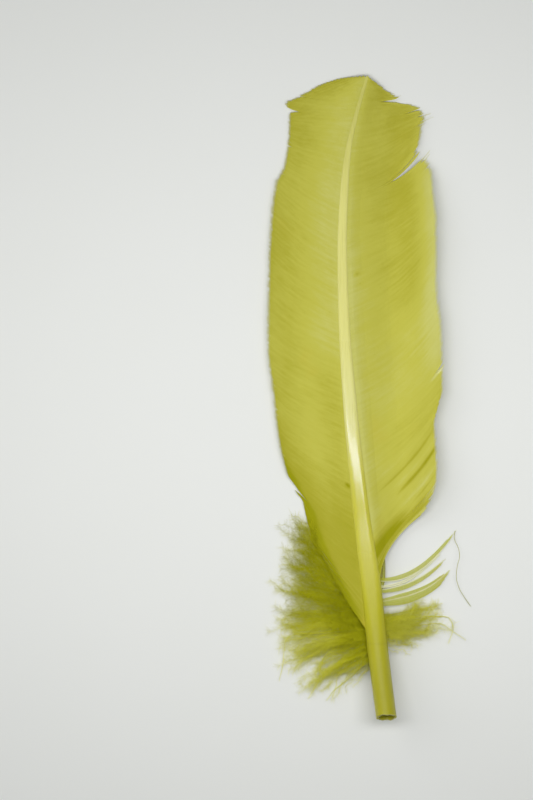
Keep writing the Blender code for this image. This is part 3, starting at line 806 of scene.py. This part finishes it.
def down_tree():
    """The nodes that set barbules along thin barbs."""
    sizes = ("Barbule Length", "Barbule Gap", "Barbule Root")
    tree, (ways, length, gap, thick, finish) = new_tree("downy barbs", sizes, "Down")

    def chance(low, high, seed):
        """A random number for each barbule."""
        values = {"Min_001": low, "Max_001": high, "Seed": seed}
        return ways.node("FunctionNodeRandomValue", {"data_type": "FLOAT"}, values, 1)

    lines = ways.node("GeometryNodeMeshToCurve", values={"Mesh": ways})
    lines = ways.node("GeometryNodeSetCurveNormal", {"mode": "Z_UP"}, {"Curve": lines})
    sizes = {"Resolution": 3, "Radius": 1}
    ring = ways.node("GeometryNodeCurvePrimitiveCircle", {"mode": "RADIUS"}, sizes)
    size = stored(ways, "half_width")
    values = {"Curve": lines, "Profile Curve": ring, "Scale": size, "Fill Caps": True}
    stems = ways.node("GeometryNodeCurveToMesh", values=values)
    values = {"Curve": lines, "Length": gap}
    points = ways.node("GeometryNodeCurveToPoints", {"mode": "LENGTH"}, values)
    turn = Wire(points.socket.node.outputs["Rotation"])
    spike = ways.node(
        "GeometryNodeMeshCone", {"fill_type": "NGON"},
        {"Vertices": 3, "Side Segments": 1, "Radius Top": 0, "Radius Bottom": thick, "Depth": length},
    )
    number = ways.node("GeometryNodeInputIndex")
    spread = (2 * number.math("MODULO", number, 2) - 1) * chance(0.6, 1.2, 1)
    values = {"X": chance(-0.6, 0.6, 2), "Y": spread, "Z": chance(-0.4, 0.4, 3)}
    lean = ways.node("ShaderNodeCombineXYZ", values=values)
    lean = ways.node("FunctionNodeEulerToRotation", values={"Euler": lean})
    values = {"Rotation": turn, "Rotate By": lean}
    turn = ways.node("FunctionNodeRotateRotation", {"rotation_space": "LOCAL"}, values)
    size = chance(0.45, 1.1, 4) * stored(ways, "fluff")
    values = {"Points": points, "Instance": spike, "Rotation": turn, "Scale": size}
    hairs = ways.node("GeometryNodeInstanceOnPoints", values=values)
    join = tree.nodes.new("GeometryNodeJoinGeometry")
    tree.links.new(stems.socket, join.inputs[0])
    tree.links.new(hairs.socket, join.inputs[0])
    down = ways.node("GeometryNodeRealizeInstances", values={"Geometry": Wire(join.outputs[0])})
    x, y, z = ways.node("GeometryNodeInputPosition").parts()
    just_above_table = 0.00003
    values = {"X": x, "Y": y, "Z": z.math("MAXIMUM", z, just_above_table)}
    place = ways.node("ShaderNodeCombineXYZ", values=values)
    down = ways.node("GeometryNodeSetPosition", values={"Geometry": down, "Position": place})
    down = ways.node("GeometryNodeSetShadeSmooth", values={"Geometry": down, "Shade Smooth": True})
    down = ways.node("GeometryNodeSetMaterial", values={"Geometry": down, "Material": finish})
    ways.feed(tree.nodes.new("NodeGroupOutput"), tree.interface.items_tree["Down"].identifier, down)
    return tree


DOWN_YELLOW = (0.88, 0.87, 0.10, 1)
DOWN_BODY = (0.78, 0.77, 0.02, 1)
DOWN_DEEP_AND_SHADE = (0.50, 0.50, 0.001, 1)


def dyed_and_shaded_down():
    """Dyed down. It is darker towards the shaft, where the tufts lie over each other, and that darkness
    is painted shade that the dye attribute carries.
    """
    material, shader, place = new_finish("dyed and shaded down")
    dye = place.node("ShaderNodeAttribute", {"attribute_name": "dye"}, output="Fac")
    cloud = place.noise(120)
    depth = dye + 0.4 * (cloud - 0.5)
    colour = depth.between(0.0, 0.5).mix(DOWN_YELLOW, DOWN_BODY)
    colour = depth.between(0.4, 1.0).mix(colour, DOWN_DEEP_AND_SHADE)
    place.feed(shader, "Base Color", colour)
    place.feed(shader, "Roughness", 0.7 + 0.15 * cloud)
    return material


def add_down(name, rows, count, loose, edge, deeper, chance):
    """One side's down as a piece. What the vane hides lies low and carries no barbules."""
    ways, t, fluff = down_barbs(rows, count, chance)
    outside = outside_vane(ways, edge, np.sign(rows[0][1]))
    hidden = 1 - ease(outside, *HIDDEN_BY)
    ways[..., 2] += hidden * (HIDDEN_LEVEL - ways[..., 2])
    high = ease(ways[..., 1], *DEEPER_UP)
    dye = deeper + chance.uniform(-0.35, 0.35, (count, 1)) + 0.45 * high - 0.25
    # Darker near the roots, which is painted shade where the tufts lie over each other by the shaft
    dye += 0.4 * (1 - ease(t, 0.1, 0.5)) - (0.35 - 0.25 * high) * ease(outside, *PALER_OUT)
    single = loose_barbs(loose, chance)
    alone = np.broadcast_to(np.linspace(0, 1, DOWN_POINTS), single.shape[:2])
    stems = STEM_HALF_WIDTH * (1 - 0.7 * t)
    single_stems = LOOSE_HALF_WIDTH * (1 - 0.6 * alone)
    values = {
        "half_width": np.vstack([stems, single_stems]) / MM_IN_METRE,
        "dye": np.vstack([dye, 0.5 - 0.4 * alone]),
        "fluff": np.vstack([fluff * (1 - hidden), 0.42 - 0.1 * alone]),
    }
    inputs = {
        "Barbule Length": BARBULE_LENGTH / MM_IN_METRE, "Barbule Gap": BARBULE_GAP / MM_IN_METRE,
        "Barbule Root": BARBULE_ROOT / MM_IN_METRE, "Finish": DOWN_FINISH,
    }
    made = grow(name, np.vstack([ways, single]), values, DOWNY_BARBS, inputs)
    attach(made, "root")
    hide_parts("feather")


DOWNY_BARBS = down_tree()
DOWN_FINISH = dyed_and_shaded_down()
add_down("left_down", LEFT_DOWN, LEFT_DOWN_COUNT, LEFT_LOOSE, left_edge, LEFT_DEEPER, chance)
add_down("right_down", RIGHT_DOWN, RIGHT_DOWN_COUNT, RIGHT_LOOSE, right_edge, RIGHT_DEEPER, chance)

# The table that the feather lies on, a plain, pale board with a dull face. It is only the ground
# of the picture and isn't part of the feather.
TABLE_GREY, TABLE_WHITE = (0.80, 0.81, 0.785, 1), (0.81, 0.82, 0.80, 1)
TABLE_SIZE, TABLE_GAP = 6, 0.0001

bpy.ops.mesh.primitive_plane_add(size=TABLE_SIZE, location=(0, 0, -TABLE_GAP))
table = bpy.context.object
table.name = "table"
material, shader, place = new_finish("pale table")
place.feed(shader, "Base Color", place.noise(30, detail=3).mix(TABLE_GREY, TABLE_WHITE))
shader.inputs["Roughness"].default_value = 0.85
table.data.materials.append(material)

# The light, in metres and watts: a soft panel close above the feather, a large one at its upper
# left, a narrow one whose reflection lies along the polished shaft, and a pale room all round.
ROOM_COLOUR, ROOM_LIGHT = (0.97, 1.0, 0.96, 1), 0.18
NEAR_PLACE, NEAR_SIZE, NEAR_POWER = (0, -0.008, 0.37), (0.5, 0.14), 1.25
SIDE_PLACE, SIDE_SIZE, SIDE_POWER = (-1.3, 0.75, 0.85), (1.6, 1.2), 9.5
MIRRORED_PLACE, MIRRORED_SIZE, MIRRORED_POWER = (-0.06, -0.0168, 0.4), (0.4, 0.020), 0.36
PLAIN_WHITE, COOL_BLUE = (1, 1, 1), (0.6, 0.63, 0.95)

scene = bpy.context.scene
room = bpy.data.worlds.new("pale room")
room.use_nodes = True
room.node_tree.nodes["Background"].inputs["Color"].default_value = ROOM_COLOUR
room.node_tree.nodes["Background"].inputs["Strength"].default_value = ROOM_LIGHT
scene.world = room


def add_panel(name, place, aim, size, power, colour, mirrored):
    """A soft rectangular light turned to a point. It either lights the faces or, when mirrored,
    only shows in polished ones."""
    light = bpy.data.lights.new(name, "AREA")
    light.shape = "RECTANGLE"
    light.size, light.size_y = size
    light.energy = power
    light.color = colour
    panel = bpy.data.objects.new(name, light)
    panel.location = place
    panel.rotation_euler = (Vector(place) - Vector(aim)).to_track_quat("Z", "Y").to_euler()
    panel.visible_glossy = mirrored
    panel.visible_diffuse = not mirrored
    panel.visible_camera = False
    scene.collection.objects.link(panel)


below_near, below_mirrored = (*NEAR_PLACE[:2], 0), (*MIRRORED_PLACE[:2], 0)
add_panel("near panel", NEAR_PLACE, below_near, NEAR_SIZE, NEAR_POWER, PLAIN_WHITE, False)
add_panel("side panel", SIDE_PLACE, (0, 0, 0), SIDE_SIZE, SIDE_POWER, PLAIN_WHITE, False)
add_panel(
    "mirrored panel", MIRRORED_PLACE, below_mirrored, MIRRORED_SIZE, MIRRORED_POWER,
    COOL_BLUE, True,
)

# The camera, which looks straight down on the table, as in the photograph. VIEW_LENGTH is the
# length on the table that the picture's longer side takes in, in metres.
CAMERA_HEIGHT = 1.2
VIEW_LENGTH = 0.312
PICTURE_MIDDLE = (-0.0390, -0.0011)

camera = bpy.data.objects.new("camera", bpy.data.cameras.new("camera"))
camera.location = (*PICTURE_MIDDLE, CAMERA_HEIGHT)
camera.data.lens = camera.data.sensor_width * CAMERA_HEIGHT / VIEW_LENGTH
scene.collection.objects.link(camera)
scene.camera = camera
scene.view_settings.view_transform = "Standard"
